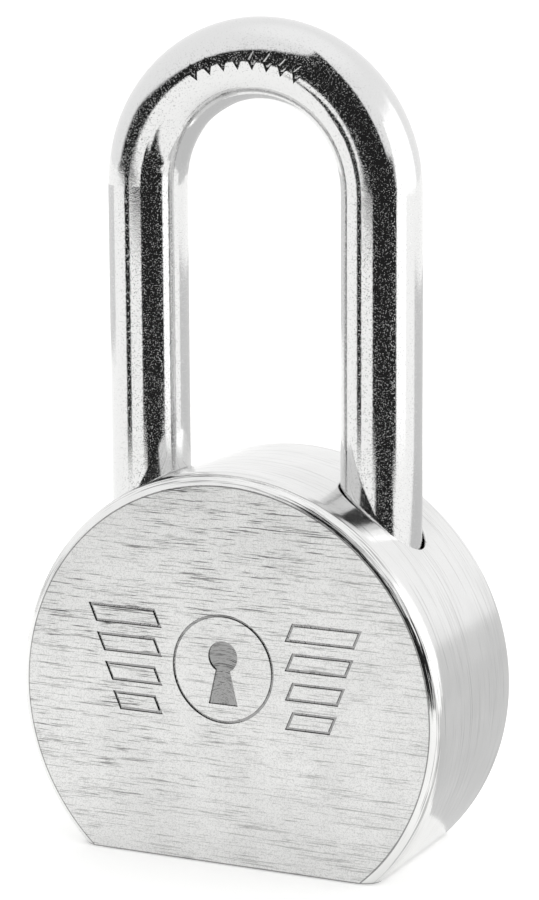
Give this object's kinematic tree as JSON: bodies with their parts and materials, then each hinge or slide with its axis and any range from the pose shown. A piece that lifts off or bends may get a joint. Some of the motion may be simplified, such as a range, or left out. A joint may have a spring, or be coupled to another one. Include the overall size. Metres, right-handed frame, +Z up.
{
  "type": "padlock",
  "caption": "Round solid-steel padlock with a long lifting shackle, ball locking and a turning pin-tumbler cylinder in its flat base.",
  "frame": {"origin": "middle of the flat under the round body, where the lock stands upright", "axes": "+Z up along the legs towards the shackle's crown, +X towards the toe (opening) leg, -Y out of the marked front face"},
  "size_m": [0.0634, 0.027, 0.1145],
  "materials": {
    "body_steel": "satin, ground faces with polished turned edges, nickel plated",
    "shackle_chrome": "polished chrome plate",
    "spring_steel": "drawn wire",
    "hardened_steel": "ground and polished balls",
    "actuator_steel": "machined",
    "cylinder_brass": "machined, satin",
    "plug_brass": "machined, turned face",
    "clip_steel": "stamped",
    "cover_brass": "rolled strip",
    "screw_steel": "black oxide",
    "key_pin_brass": "turned",
    "driver_pin_brass": "turned"
  },
  "bodies": {
    "case": {"lock_body": "body_steel", "shackle_spring": "spring_steel", "cylinder_shell": "cylinder_brass", "spring_cover": "cover_brass", "cylinder_screw": "screw_steel", "driver_pin_1": "driver_pin_brass", "driver_pin_2": "driver_pin_brass", "driver_pin_3": "driver_pin_brass", "driver_pin_4": "driver_pin_brass", "driver_pin_5": "driver_pin_brass", "pin_spring_1": "spring_steel", "pin_spring_2": "spring_steel", "pin_spring_3": "spring_steel", "pin_spring_4": "spring_steel", "pin_spring_5": "spring_steel"},
    "shackle": {"shackle": "shackle_chrome"},
    "plug": {"cylinder_plug": "plug_brass", "plug_clip": "clip_steel", "key_pin_1": "key_pin_brass", "key_pin_2": "key_pin_brass", "key_pin_3": "key_pin_brass", "key_pin_4": "key_pin_brass", "key_pin_5": "key_pin_brass"},
    "actuator": {"actuator": "actuator_steel"},
    "heel_ball": {"heel_ball": "hardened_steel"},
    "toe_ball": {"toe_ball": "hardened_steel"}
  },
  "joints": [
    {"name": "shackle_lift", "type": "slide", "parent": "case", "child": "shackle", "axis": [0, 0, 1], "range_m": [0, 0.0195], "deforming": ["shackle_spring"]},
    {"name": "plug_turn", "type": "hinge", "parent": "case", "child": "plug", "pos_m": [0, 0, 0.012], "axis": [0, 0, 1], "range_deg": [-90, 0]},
    {"name": "actuator_turn", "type": "hinge", "parent": "case", "child": "actuator", "pos_m": [0, 0, 0.0366], "axis": [0, 0, 1], "range_deg": [-90, 0]},
    {"name": "heel_ball_slide", "type": "slide", "parent": "case", "child": "heel_ball", "axis": [-1, 0, 0], "range_m": [0, 0.0018]},
    {"name": "toe_ball_slide", "type": "slide", "parent": "case", "child": "toe_ball", "axis": [1, 0, 0], "range_m": [0, 0.0026]}
  ],
  "couplings": [
    {"joint": "actuator_turn", "follows": "plug_turn", "ratio": 1},
    {"joint": "heel_ball_slide", "follows": "plug_turn", "m_per_rad": -0.0011459},
    {"joint": "toe_ball_slide", "follows": "plug_turn", "m_per_rad": -0.0016552}
  ]
}
